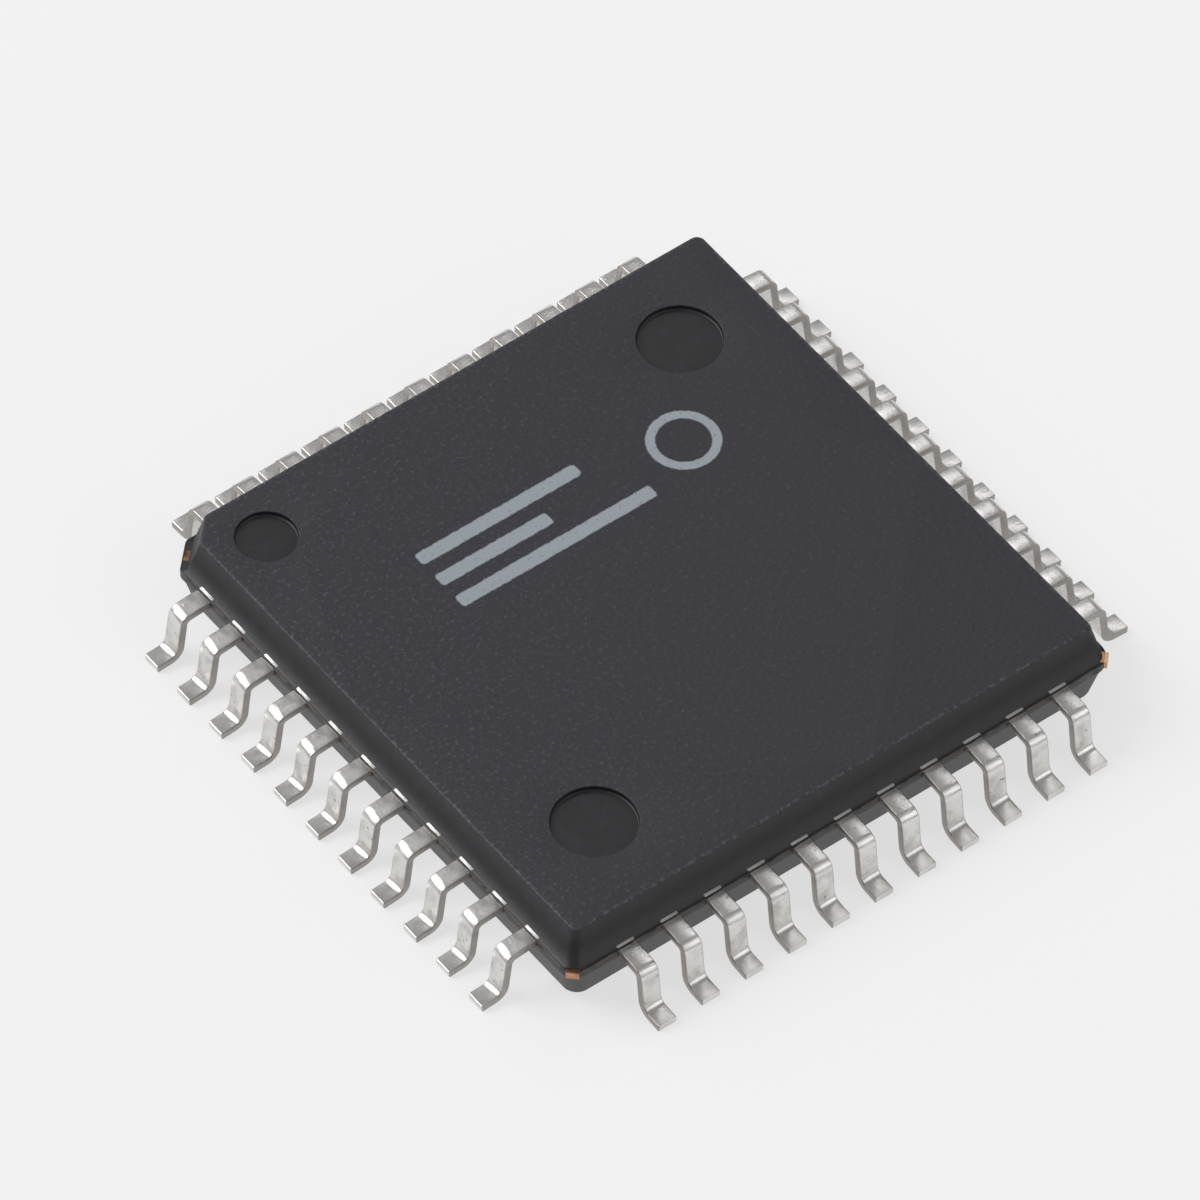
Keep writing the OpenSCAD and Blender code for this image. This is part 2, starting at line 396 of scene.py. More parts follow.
@dataclass(frozen=True)
class MouldCompound:
    """Black filled epoxy: spark-textured on top, smoother on the drafted sides, with a pale band on the top
    edges that is rubbing wear and a painted edge highlight. Millimetres.
    """

    edge_zone: float = 0.035
    edge_wear_and_highlight_width: float = 0.075
    flash_reach: float = 0.022
    texture_depth: float = 0.009
    wave_depth: float = 0.012
    top: Colour = (0.030, 0.029, 0.038)
    fleck: Colour = (0.085, 0.084, 0.105)
    side: Colour = (0.0125, 0.0125, 0.015)
    lower: Colour = (0.016, 0.014, 0.014)
    # Pale colour of the top edges' band: rubbing wear, and the painted highlight of the rounded edges.
    edge_wear_and_highlight_colour: Colour = (0.10, 0.095, 0.105)
    flash: Colour = (0.11, 0.085, 0.07)
    ink: Colour = (0.36, 0.40, 0.44)
    marks: PrintedMarks = field(default_factory=PrintedMarks)

    def build(self, body: "MouldedBody") -> bpy.types.Material:
        """Makes the material.

        Args:
            body: The body that wears it, whose heights and sizes bound its zones.

        Returns:
            The material.
        """
        shader = Shader("mould_compound", Metallic=0.0, IOR=1.5)
        x, y, z = shader.place()
        point = shader.vector(x, y, z)
        aside = abs(x).max(abs(y))
        on_top = z.rise(body.top - self.edge_zone, body.top - 0.004)
        upper = z.rise(body.frame_top - 0.01, body.frame_top + 0.01)

        fine = shader.noise(point, 15.0, detail=3.0, rough=0.62)
        grain = shader.grains(point, 12.0)
        cloud = shader.noise(point, 0.45, detail=2.0)
        left_wear = (x * -0.11 + y * 0.05 + 0.35).rise(0.0, 1.0)
        flecks = fine.rise(0.53, 0.74) * (0.35 + 0.65 * left_wear) * on_top
        ragged = aside + (fine - 0.5) * 0.10
        # A pale band along the top edges: rubbing wear, with a painted highlight where the rounded edge
        # catches the light.
        edge_wear_and_highlight = ragged.rise(body.top_half - self.edge_wear_and_highlight_width, body.top_half - 0.02) * on_top

        ink = self.marks.mask(shader, x + (fine - 0.5) * 0.03, y + (grain - 0.5) * 0.02) * on_top
        ink = ink * (1.0 - fine.rise(0.60, 0.70) * 0.55) * 0.93

        top = shader.blend(flecks, self.top, self.fleck)
        top = shader.blend(edge_wear_and_highlight * fine.rise(0.42, 0.62) * 0.6, top, self.edge_wear_and_highlight_colour)
        top = shader.blend(ink, top, self.ink)
        side = shader.blend(upper, self.lower, self.side)
        side = shader.blend(shader.noise(point, 5.0, detail=4.0).rise(0.45, 0.85) * 0.5, side, self.top)
        at_edge = aside.rise(body.half, body.half + self.flash_reach)
        on_ledge = z.band(body.frame_top - 0.03, body.frame_top + 0.006, 0.02) * at_edge
        side = shader.blend(on_ledge * shader.noise(point, 7.0).rise(0.3, 0.6), side, self.flash)
        colour = shader.blend(on_top, side, top)

        rough = 0.42 + 0.13 * on_top + 0.1 * (fine - 0.5) + 0.05 * cloud + 0.1 * ink
        height = (fine * 0.65 + grain * 0.5) * (0.25 + 0.75 * on_top) * (1.0 - 0.35 * ink)
        waves = shader.relief(cloud, self.wave_depth)
        return shader.finish(
            Base_Color=colour, Roughness=rough, Normal=shader.relief(height, self.texture_depth, waves)
        )


@dataclass(frozen=True)
class TinPlate:
    """Satin tin over the formed leads, with forming marks, handling smudges and painted shade on the legs and
    feet. Millimetres.
    """

    foot_top: float = 0.22
    leg_top: float = 0.74
    root_reach: float = 0.16
    shoulder_reach: float = 0.26
    rib_depth: float = 0.004
    brush_depth: float = 0.0028
    pit_depth: float = 0.0035
    bright: Colour = (0.76, 0.745, 0.725)
    # Darker tin for the smudges, which is also the painted shade on the legs and feet.
    smudge_and_shade: Colour = (0.50, 0.485, 0.47)
    sheared: Colour = (0.33, 0.30, 0.275)
    stain: Colour = (0.16, 0.135, 0.12)

    def build(self, body: "MouldedBody") -> bpy.types.Material:
        """Makes the material.

        Args:
            body: The body that the leads stand out of.

        Returns:
            The material.
        """
        shader = Shader("tin_plate", Metallic=1.0)
        x, y, z = shader.place()
        point = shader.vector(x, y, z)
        out = abs(x).max(abs(y))
        along = abs(x).min(abs(y))
        across = abs(shader.attribute("across"))
        sheared = across.rise(0.86, 0.97)

        drawn = shader.noise(shader.vector(out * 5.0, along * 55.0, z * 5.0), 1.0, detail=3.0, rough=0.6)
        formed = shader.noise(shader.vector(out * 60.0, along * 7.0, z * 60.0), 1.0, detail=2.0)
        cloud = shader.noise(point, 3.2, detail=4.0, rough=0.6)
        speck = shader.noise(point, 14.0, detail=2.0).rise(0.66, 0.74)

        root = out.rise(body.half + self.root_reach, body.half + 0.06) * z.rise(0.7, 0.8)
        past_root = out.rise(body.half + 0.14, body.half + self.shoulder_reach)
        shoulder = z.rise(self.leg_top, self.leg_top + 0.1) * past_root
        leg = z.band(self.foot_top, self.leg_top, 0.1)
        foot = z.rise(self.foot_top, self.foot_top - 0.08)

        # Darker tin in cloudy smudges, weighted onto the legs and feet: handling smudges, with painted shade
        # on the legs and feet.
        smudge_and_shade = (cloud.rise(0.42, 0.72) * (0.25 + 0.55 * leg + 0.3 * foot)).min(1.0)
        colour = shader.blend(smudge_and_shade, self.bright, self.smudge_and_shade)
        colour = shader.blend(speck * (leg * 0.7 + shoulder * 0.35), colour, self.stain)
        colour = shader.blend(sheared * 0.85, colour, self.sheared)

        rough = 0.20 + 0.13 * cloud + 0.16 * root + 0.08 * leg + 0.10 * sheared + 0.06 * drawn
        ribs = shader.relief(formed * shoulder, self.rib_depth)
        grained = shader.relief(drawn * (0.4 + 0.6 * foot), self.brush_depth, ribs)
        pits = shader.noise(point, 24.0) * (0.3 + 1.2 * root)
        pitted = shader.relief(pits, self.pit_depth, grained)
        return shader.finish(Base_Color=colour, Roughness=rough, Normal=pitted)


@dataclass(frozen=True)
class InnerFinish:
    """Finish of a piece sealed in the moulding, with a mottle in its colour and its gloss.

    The gloss is the lowest and the highest roughness. The mottle and the grain are cells to a
    millimetre, and the grain's depth is in millimetres.
    """

    name: str
    light: Colour
    dark: Colour
    metallic: float
    gloss: tuple[float, float]
    mottle: float
    grain: float
    grain_depth: float = 0.002

    def build(self) -> bpy.types.Material:
        """Makes the material from a coarse mottle and a fine grain."""
        shader = Shader(self.name, Metallic=self.metallic)
        point = shader.vector(*shader.place())
        mottle = shader.noise(point, self.mottle, detail=4.0)
        grain = shader.noise(point, self.grain, detail=2.0)
        smooth, rough = self.gloss
        return shader.finish(
            Base_Color=shader.blend(mottle.rise(0.3, 0.7), self.light, self.dark),
            Roughness=smooth + (rough - smooth) * mottle,
            Normal=shader.relief(grain, self.grain_depth),
        )


LEAD_FRAME_COPPER = InnerFinish(
    "lead_frame_copper", light=(0.66, 0.37, 0.22), dark=(0.36, 0.18, 0.10), metallic=1.0,
    gloss=(0.25, 0.45), mottle=2.5, grain=30.0,
)
SILVER_EPOXY = InnerFinish(
    "die_attach_silver", light=(0.62, 0.61, 0.58), dark=(0.42, 0.41, 0.39), metallic=0.7,
    gloss=(0.45, 0.7), mottle=6.0, grain=40.0,
)
SILICON = InnerFinish(
    "silicon", light=(0.10, 0.11, 0.13), dark=(0.05, 0.055, 0.07), metallic=0.6,
    gloss=(0.08, 0.2), mottle=1.2, grain=60.0,
)
BOND_GOLD = InnerFinish(
    "bond_gold", light=(0.95, 0.72, 0.30), dark=(0.80, 0.56, 0.20), metallic=1.0,
    gloss=(0.15, 0.3), mottle=8.0, grain=80.0,
)


# Meshes


def new_piece(name: str, build: bmesh.types.BMesh) -> bpy.types.Object:
    """Turns a finished mesh into a piece at the origin.

    Args:
        name: The piece's name.
        build: The mesh in millimetres, which is freed.

    Returns:
        The piece.
    """
    bmesh.ops.scale(build, vec=(MM, MM, MM), verts=build.verts)
    mesh = bpy.data.meshes.new(name)
    build.to_mesh(mesh)
    build.free()
    piece = bpy.data.objects.new(name, mesh)
    bpy.context.scene.collection.objects.link(piece)
    return piece


def arc(centre: Point, radius: float, start: float, end: float, steps: int) -> list[Point]:
    """Points along an arc, both ends included.

    Args:
        centre: Its centre.
        radius: Its radius.
        start: Its first angle, in radians.
        end: Its last angle.
        steps: How many chords it has.

    Returns:
        The points.
    """
    angles = (start + (end - start) * step / steps for step in range(steps + 1))
    return [(centre[0] + radius * math.cos(a), centre[1] + radius * math.sin(a)) for a in angles]


def quarter_round(radius: float, steps: int) -> list[Point]:
    """Points of a rounded edge, from one of its faces to the other.

    Args:
        radius: The edge's radius.
        steps: How many chords it has.

    Returns:
        How far each point still has to go and how far it has come, from (radius, 0) on.
    """
    angles = [step / steps * math.pi / 2 for step in range(steps + 1)]
    return [(radius * (1 - math.sin(angle)), radius * (1 - math.cos(angle))) for angle in angles]


def weighted(piece: bpy.types.Object) -> None:
    """Shades a piece smooth, with its flat faces kept flat.

    Args:
        piece: The piece.
    """
    piece.data.shade_smooth()
    modifier = piece.modifiers.new("even_shading", "WEIGHTED_NORMAL")
    modifier.weight = FLAT_FACE_WEIGHT
    modifier.keep_sharp = True


@dataclass
class Recess:
    """A round recess in the top or bottom face of the body."""

    centre: Point
    radius: float
    depth: float


@dataclass
class MouldedBody:
    """The moulded body, from the bottom face up to the top face, with its recesses. Millimetres."""

    draft_deg: float = 13.0
    resin_proud: float = 0.03
    upper_setback: float = 0.05
    sheet: float = 0.13
    upper_height: float = 0.66
    pin_one_cut: float = 0.40
    top_edge_round: float = 0.035
    low_edge_round: float = 0.05
    ledge_round: float = 0.012
    recess_round: float = 0.016
    floor_round: float = 0.03
    side_steps: int = 120
    corner_steps: int = 12
    round_steps: int = 4
    flash_wobble: float = 0.004
    chip_at: Point = (4.61, -5.03)
    chip_width: float = 0.09
    chip_depth: float = 0.035
    bottom_corner: float = 0.25
    lower_corner: float = 0.29
    ledge_corner: float = 0.312
    upper_corner: float = 0.17
    top_corner: float = 0.14
    parting_cut: float = 0.42
    circle_steps: int = 96
    seed: int = 44
    top_recesses: tuple[Recess, ...] = (
        Recess((-3.92, 3.92), 0.48, 0.09),
        Recess((-3.31, -3.31), 0.66, 0.09),
        Recess((3.31, 3.31), 0.66, 0.09),
    )
    under_marks: tuple[Recess, ...] = (Recess((-3.31, -3.31), 0.5, 0.05), Recess((3.31, 3.31), 0.5, 0.05))
    half: float = field(init=False)
    bottom: float = field(init=False)
    top: float = field(init=False)
    frame_top: float = field(init=False)
    top_half: float = field(init=False)
    flash: list[list[float]] = field(init=False)

    def __post_init__(self) -> None:
        """Reads the body's size from the frame, and draws the wobble of its resin edge."""
        low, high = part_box("mould_body")
        self.half = high[0] / MM - self.resin_proud
        self.bottom = low[2] / MM
        self.top = high[2] / MM
        self.frame_top = self.top - self.upper_height
        self.top_half = self.half - self.upper_setback - self.lean(self.upper_height)
        chance = random.Random(self.seed)
        self.flash = [[chance.uniform(-1, 1) for _ in range(self.side_steps)] for _ in Side]

    def lean(self, height: float) -> float:
        """How far a drafted side leans in over a height."""
        return height * math.tan(math.radians(self.draft_deg))

    def outline(self, half: float, corner: float, cut: float, wobble: float = 0.0) -> list[Point]:
        """A square with three round corners and the pin 1 corner cut off.

        Every outline has the same number of points, so that two of them can be bridged.

        Args:
            half: Half its side.
            corner: Radius of its corners.
            cut: Leg of the cut at the pin 1 corner.
            wobble: How far its sides wander in and out.

        Returns:
            Its points, anticlockwise from the left end of the front side.
        """
        points: list[Point] = []
        half_steps = self.corner_steps // 2
        cut_round = 0.5 * corner
        for turn, side in enumerate((Side.FRONT, Side.RIGHT, Side.BACK, Side.LEFT)):
            spin = Matrix.Rotation(turn * math.pi / 2, 2)
            start = -half + (self._cut_end(cut, cut_round) if side is Side.LEFT else corner)
            end = half - (self._cut_end(cut, cut_round) if side is Side.BACK else corner)
            own: list[Point] = []
            for step in range(self.side_steps):
                across = start + (end - start) * step / self.side_steps
                stray = wobble * self.flash[side.value][step] if step else 0.0
                own.append((across, -half + stray))
            if side is Side.BACK:
                lean_in = cut_round * math.tan(math.pi / 8)
                own += arc((end, -half + cut_round), cut_round, -math.pi / 2, -math.pi / 4, half_steps)
                own += arc(
                    (half - cut_round, -half + cut + lean_in), cut_round, -math.pi / 4, 0.0, half_steps - 1
                )
            else:
                own += arc((end, -half + corner), corner, -math.pi / 2, 0.0, self.corner_steps)
            points += [tuple(spin @ Vector(point)) for point in own]
        return points

    @staticmethod
    def _cut_end(cut: float, cut_round: float) -> float:
        """Where a side ends short of the cut corner's own small round."""
        return cut + cut_round * math.tan(math.pi / 8)

    def chip(self, point: Point) -> Point:
        """Moves a point of the ledge inwards where a chip of resin broke off."""
        away = math.dist(point, self.chip_at) / self.chip_width
        return point[0], point[1] + self.chip_depth * math.exp(-away * away * 2)

    def levels(self) -> list[tuple[float, list[Point]]]:
        """The body's outline at each height, from the bottom face's edge up to the top face's."""
        height = self.frame_top - self.sheet - self.bottom
        lower_foot = self.half - self.lean(height)
        levels: list[tuple[float, list[Point]]] = []
        for inset, rise in quarter_round(self.low_edge_round, self.round_steps):
            half = lower_foot + self.lean(rise) - inset
            levels.append((
                self.bottom + rise, self.outline(half, self.bottom_corner - inset, self.pin_one_cut)
            ))
        ledge_bottom = self.frame_top - self.sheet
        levels.append((ledge_bottom, self.outline(self.half, self.lower_corner, self.parting_cut)))

        ledge = self.half + self.resin_proud
        ledge_cut = self.pin_one_cut + self.resin_proud
        for z, inset in (
            (ledge_bottom, 0.0),
            (self.frame_top - self.ledge_round, 0.0),
            (self.frame_top - self.ledge_round * 0.3, self.ledge_round * 0.3),
            (self.frame_top, self.ledge_round),
        ):
            outline = self.outline(
                ledge - inset, self.ledge_corner - inset, ledge_cut, self.flash_wobble
            )
            levels.append((z, [self.chip(point) for point in outline]))

        upper = self.half - self.upper_setback
        levels.append((self.frame_top, self.outline(upper, self.upper_corner, self.parting_cut)))
        for drop, inset in quarter_round(self.top_edge_round, self.round_steps):
            half = self.top_half + self.lean(drop) - inset
            levels.append((
                self.top - drop, self.outline(half, self.top_corner - inset / 2, self.pin_one_cut)
            ))
        return levels

    def cap(
        self, build: bmesh.types.BMesh, rim: list[bmesh.types.BMVert], z: float,
        recesses: tuple[Recess, ...], down: float,
    ) -> None:
        """Closes the top or the bottom with a flat face, and sinks its recesses.

        Args:
            build: The body's mesh.
            rim: The vertices that bound the face.
            z: Its height.
            recesses: The recesses in it.
            down: -1 for the top face, whose recesses sink down, and 1 for the bottom.
        """
        steps = self.circle_steps
        verts = [(vertex.co.x, vertex.co.y) for vertex in rim]
        loops = [list(range(len(rim)))]
        made = list(rim)
        for recess in recesses:
            circle = arc(recess.centre, recess.radius + self.recess_round, 0.0, 2 * math.pi, steps)[:-1]
            loops.append([len(verts) + step for step in reversed(range(steps))])
            verts += circle
            ring = [build.verts.new((*point, z)) for point in circle]
            made += ring
            self._sink(build, ring, recess, z, down)
        flat = delaunay_2d_cdt([Vector(vertex) for vertex in verts], [], loops, FILL_LOOPS, SAME_POINT)
        faces, origins = flat[2:4]
        for face in faces:
            build.faces.new([made[origins[index][0]] for index in face])

    def _sink(
        self, build: bmesh.types.BMesh, ring: list[bmesh.types.BMVert], recess: Recess, z: float,
        down: float,
    ) -> None:
        """Makes a recess's rounded rim, wall, filleted floor and floor.

        Args:
            build: The body's mesh.
            ring: The vertices of the rim's outer circle.
            recess: The recess.
            z: Height of the face that it is in.
            down: The way it sinks, -1 or 1.
        """
        rim = quarter_round(self.recess_round, self.round_steps)[1:]
        fillet = quarter_round(self.floor_round, self.round_steps)
        profile = [(recess.radius + out, depth) for out, depth in rim]
        profile += [(recess.radius - inwards, recess.depth - up) for up, inwards in fillet]
        profile.append((recess.radius * 0.5, recess.depth))
        for radius, depth in profile:
            circle = arc(recess.centre, radius, 0.0, 2 * math.pi, len(ring))[:-1]
            lower = [build.verts.new((*point, z + down * depth)) for point in circle]
            bridge(build, ring, lower)
            ring = lower
        build.faces.new(ring)

    def build(self) -> bpy.types.Object:
        """Builds the moulded body.

        Returns:
            The piece.
        """
        build = bmesh.new()
        rings = [[build.verts.new((*point, z)) for point in outline] for z, outline in self.levels()]
        for lower, upper in zip(rings, rings[1:]):
            bridge(build, lower, upper)
        self.cap(build, rings[-1], self.top, self.top_recesses, -1.0)
        self.cap(build, rings[0], self.bottom, self.under_marks, 1.0)
        bmesh.ops.remove_doubles(build, verts=build.verts, dist=BODY_WELD)
        bmesh.ops.recalc_face_normals(build, faces=build.faces)
        piece = new_piece("moulded_body", build)
        weighted(piece)
        return piece

    def dress(self, piece: bpy.types.Object) -> None:
        """Gives the body its compound and stands it for its solid."""
        piece.data.materials.append(MouldCompound().build(self))
        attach(piece, "root")
        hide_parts("mould_body")
        log.info("moulded body: %d faces", len(piece.data.polygons))


def bridge(
    build: bmesh.types.BMesh, first: list[bmesh.types.BMVert], second: list[bmesh.types.BMVert]
) -> None:
    """Joins two closed rings of as many vertices with four-sided faces.

    Args:
        build: The mesh.
        first: One ring.
        second: The other.
    """
    for at, vertex in enumerate(first):
        following = (at + 1) % len(first)
        build.faces.new((vertex, first[following], second[following], second[at]))


# Leads


@dataclass
class FormedPath:
    """The middle line of a lead outside the body, in its side's frame. Millimetres."""

    start: Point
    slope: float = 0.0
    points: list[Point] = field(init=False)

    def __post_init__(self) -> None:
        """Starts the line at its first point."""
        self.points = [self.start]

    def run(self, length: float) -> "FormedPath":
        """Goes straight on."""
        x, z = self.points[-1]
        self.points.append((x + length * math.cos(self.slope), z + length * math.sin(self.slope)))
        return self

    def bend(self, radius: float, slope_deg: float, step_deg: float = 7.0) -> "FormedPath":
        """Bends to another slope.

        Args:
            radius: Radius on the middle line.
            slope_deg: The slope after the bend, in degrees above level.
            step_deg: The longest chord's angle.

        Returns:
            The path itself.
        """
        turn = math.radians(slope_deg) - self.slope
        steps = max(2, math.ceil(abs(math.degrees(turn)) / step_deg))
        x, z = self.points[-1]
        away = math.copysign(radius, turn)
        centre = (x - away * math.sin(self.slope), z + away * math.cos(self.slope))
        start = self.slope - math.copysign(math.pi / 2, turn)
        self.points += arc(centre, radius, start, start + turn, steps)[1:]
        self.slope += turn
        return self


@dataclass
class LeadRow:
    """The formed leads on all four sides. Millimetres."""

    body: MouldedBody
    per_side: int = 11
    pitch: float = 0.8
    width: float = 0.33
    thickness: float = 0.13
    edge_round: float = 0.02
    root_slope_deg: float = -17.0
    dip_slope_deg: float = 2.5
    shoulder_slope_deg: float = -5.0
    leg_slope_deg: float = -83.0
    foot_slope_deg: float = -4.0
    foot_length: float = 0.25
    leg_spread_deg: float = 0.6
    foot_spread_deg: float = 0.5
    root_inside: float = 0.16
    root_below: float = 0.045
    first_slope_deg: float = -2.0
    root_length: float = 0.07
    root_bend_r: float = 0.12
    root_slope_length: float = 0.055
    dip_bend_r: float = 0.16
    dip_length: float = 0.02
    crown_r: float = 0.5
    shoulder_bend_r: float = 0.125
    heel_bend_r: float = 0.20
    toe_clearance: float = 0.002
    fitting_rounds: int = 6
    finger_end: float = 0.14
    edge_segments: int = 3
    edge_angle_deg: float = 50.0
    tip: float = field(init=False)
    seed: int = 7

    def __post_init__(self) -> None:
        """Reads how far the tips reach from the frame."""
        self.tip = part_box("lead_01")[0][0] / -MM

    def path(self, pin: int) -> list[Point]:
        """The middle line of one lead.

        The leg's length closes the line on the tip's height, and the shoulder's flat is lengthened
        so that the line ends at the tip.

        Args:
            pin: The lead's number, which sets its small differences from the others.

        Returns:
            The line's points.
        """
        chance = random.Random(self.seed * 100 + pin)
        tweak = chance.uniform(-1, 1)

        start = (self.body.half - self.root_inside, self.body.frame_top - self.root_below)
        leg_slope = self.leg_slope_deg + tweak * self.leg_spread_deg
        foot_slope = self.foot_slope_deg + tweak * self.foot_spread_deg

        def formed(leg: float, flat: float) -> FormedPath:
            """A line with this leg, whose shoulder has this much flat."""
            line = FormedPath(start, math.radians(self.first_slope_deg))
            line.run(self.root_length).bend(self.root_bend_r, self.root_slope_deg + tweak)
            line.run(self.root_slope_length).bend(self.dip_bend_r, self.dip_slope_deg)
            line.run(self.dip_length).bend(self.crown_r, self.shoulder_slope_deg)
            line.run(flat).bend(self.shoulder_bend_r, leg_slope)
            return line.run(leg).bend(self.heel_bend_r, foot_slope).run(self.foot_length)

        leg, flat = 0.4, 0.1
        leg_drop = math.sin(math.radians(-self.leg_slope_deg))
        for _ in range(self.fitting_rounds):
            end_x, end_z = formed(leg, flat).points[-1]
            leg += (end_z - self.thickness / 2 - self.toe_clearance) / leg_drop
            flat += self.tip - end_x
        return formed(leg, flat).points

    def side_of(self, pin: int) -> tuple[Side, float]:
        """The side that a pin is on, and its place along that side's own Y."""
        side, rank = divmod(pin - 1, self.per_side)
        return Side(side), (rank - (self.per_side - 1) / 2) * self.pitch

    def finger(self, pin: int) -> bpy.types.Object:
        """A copy of the lead's own finger inside the body, from its solid.

        Args:
            pin: The lead's number.

        Returns:
            A helper object, which is deleted again.
        """
        side, _ = self.side_of(pin)
        build = bmesh.new()
        build.from_mesh(frame["nodes"][f"lead_{pin:02d}"].data)
        bmesh.ops.remove_doubles(build, verts=build.verts, dist=SOLID_WELD)
        outward = Vector((math.cos(side.turn), math.sin(side.turn), 0.0))
        cut = outward * (self.body.half - self.finger_end) * MM
        everything = build.verts[:] + build.edges[:] + build.faces[:]
        bmesh.ops.bisect_plane(build, geom=everything, plane_co=cut, plane_no=outward, clear_outer=True)
        rim = [edge for edge in build.edges if edge.is_boundary]
        bmesh.ops.holes_fill(build, edges=rim, sides=0)
        mesh = bpy.data.meshes.new("finger")
        build.to_mesh(mesh)
        build.free()
        return bpy.data.objects.new("finger", mesh)

    def build(
        self, tree: bpy.types.NodeTree, finish: bpy.types.Material
    ) -> Iterator[tuple[int, bpy.types.Object]]:
        """Builds the leads one by one.

        Args:
            tree: The nodes that turn a middle line into a strip.
            finish: The leads' material.

        Yields:
            Each lead's number and its piece.
        """
        for pin in range(1, len(Side) * self.per_side + 1):
            side, along = self.side_of(pin)
            line = bpy.data.meshes.new("middle_line")
            points = self.path(pin)
            edges = [(at, at + 1) for at in range(len(points) - 1)]
            line.from_pydata([(x * MM, 0.0, z * MM) for x, z in points], edges, [])
            former = bpy.data.objects.new("former", line)
            bpy.context.scene.collection.objects.link(former)
            finger = self.finger(pin)
            bpy.context.scene.collection.objects.link(finger)
            formed = former.modifiers.new("form", "NODES")
            formed.node_group = tree
            sizes = {
                "Width": self.width * MM, "Thickness": self.thickness * MM, "Along Side": along * MM,
                "Turn": side.turn, "Finger": finger, "Finish": finish,
            }
            for item in tree.interface.items_tree:
                if item.in_out == "INPUT" and item.name in sizes:
                    formed[item.identifier] = sizes[item.name]
            rounded = former.modifiers.new("edges", "BEVEL")
            rounded.width = self.edge_round * MM
            rounded.segments = self.edge_segments
            rounded.limit_method = "ANGLE"
            rounded.angle_limit = math.radians(self.edge_angle_deg)
            rounded.harden_normals = True
            graph = bpy.context.evaluated_depsgraph_get()
            mesh = bpy.data.meshes.new_from_object(former.evaluated_get(graph), depsgraph=graph)
            bpy.data.objects.remove(former)
            bpy.data.objects.remove(finger)
            mesh.name = f"formed_lead_{pin:02d}"
            piece = bpy.data.objects.new(mesh.name, mesh)
            bpy.context.scene.collection.objects.link(piece)
            yield pin, piece

    def dress(self) -> None:
        """Builds every lead and stands it for its solid."""
        finish = TinPlate().build(self.body)
        tree = strip_tree()
        for pin, piece in self.build(tree, finish):
            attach(piece, "root")
            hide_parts(f"lead_{pin:02d}")
        log.info("formed leads: %d", len(Side) * self.per_side)


def strip_tree() -> bpy.types.NodeTree:
    """Geometry nodes that sweep a flat strip along a middle line and set it at its side.

    Returns:
        The tree, whose inputs are the strip's sizes, its place, its finger and its finish.
    """
    tree = bpy.data.node_groups.new("gull_wing_strip", "GeometryNodeTree")
    for name, kind in (
        ("Middle Line", "NodeSocketGeometry"), ("Width", "NodeSocketFloat"), ("Thickness", "NodeSocketFloat"),
        ("Along Side", "NodeSocketFloat"), ("Turn", "NodeSocketFloat"), ("Finger", "NodeSocketObject"),
        ("Finish", "NodeSocketMaterial"),
    ):
        tree.interface.new_socket(name=name, in_out="INPUT", socket_type=kind)
    tree.interface.new_socket(name="Lead", in_out="OUTPUT", socket_type="NodeSocketGeometry")
    given = tree.nodes.new("NodeGroupInput")
    result = tree.nodes.new("NodeGroupOutput")

    def add(kind: str, settings: dict[str, object], inputs: dict[str | int, object]) -> bpy.types.Node:
        """Adds a node with its settings, and its inputs as values or links."""
        node = tree.nodes.new(kind)
        for setting, value in settings.items():
            setattr(node, setting, value)
        for socket, value in inputs.items():
            if isinstance(value, bpy.types.NodeSocket):
                tree.links.new(value, node.inputs[socket])
            else:
                node.inputs[socket].default_value = value
        return node

    section = add("GeometryNodeCurvePrimitiveQuadrilateral", {"mode": "RECTANGLE"}, {
        "Width": given.outputs["Width"], "Height": given.outputs["Thickness"],
    })
    position = add("GeometryNodeInputPosition", {}, {})
    parts = add("ShaderNodeSeparateXYZ", {}, {0: position.outputs[0]})
    half = add("ShaderNodeMath", {"operation": "DIVIDE"}, {0: given.outputs["Width"], 1: 2.0})
    share = add("ShaderNodeMath", {"operation": "DIVIDE"}, {0: parts.outputs["X"], 1: half.outputs[0]})
    marked = add("GeometryNodeStoreNamedAttribute", {"data_type": "FLOAT", "domain": "POINT"}, {
        "Geometry": section.outputs[0], "Name": "across", "Value": share.outputs[0],
    })
    curve = add("GeometryNodeMeshToCurve", {}, {"Mesh": given.outputs["Middle Line"]})
    strip = add("GeometryNodeCurveToMesh", {}, {
        "Curve": curve.outputs[0], "Profile Curve": marked.outputs[0], "Fill Caps": True,
    })
    smooth = add("GeometryNodeSetShadeSmooth", {}, {"Geometry": strip.outputs[0], "Shade Smooth": True})
    shift = add("ShaderNodeCombineXYZ", {}, {"Y": given.outputs["Along Side"]})
    spin = add("ShaderNodeCombineXYZ", {}, {"Z": given.outputs["Turn"]})
    shifted = add("GeometryNodeTransform", {}, {
        "Geometry": smooth.outputs[0], "Translation": shift.outputs[0],
    })
    placed = add("GeometryNodeTransform", {}, {"Geometry": shifted.outputs[0], "Rotation": spin.outputs[0]})
    finger = add("GeometryNodeObjectInfo", {}, {"Object": given.outputs["Finger"]})
    joined = add("GeometryNodeJoinGeometry", {}, {"Geometry": placed.outputs[0]})
    tree.links.new(finger.outputs["Geometry"], joined.inputs["Geometry"])
    real = add("GeometryNodeRealizeInstances", {}, {"Geometry": joined.outputs[0]})
    dressed = add("GeometryNodeSetMaterial", {}, {
        "Geometry": real.outputs[0], "Material": given.outputs["Finish"],
    })
    tree.links.new(dressed.outputs[0], result.inputs[0])
    return tree


# Inner pieces


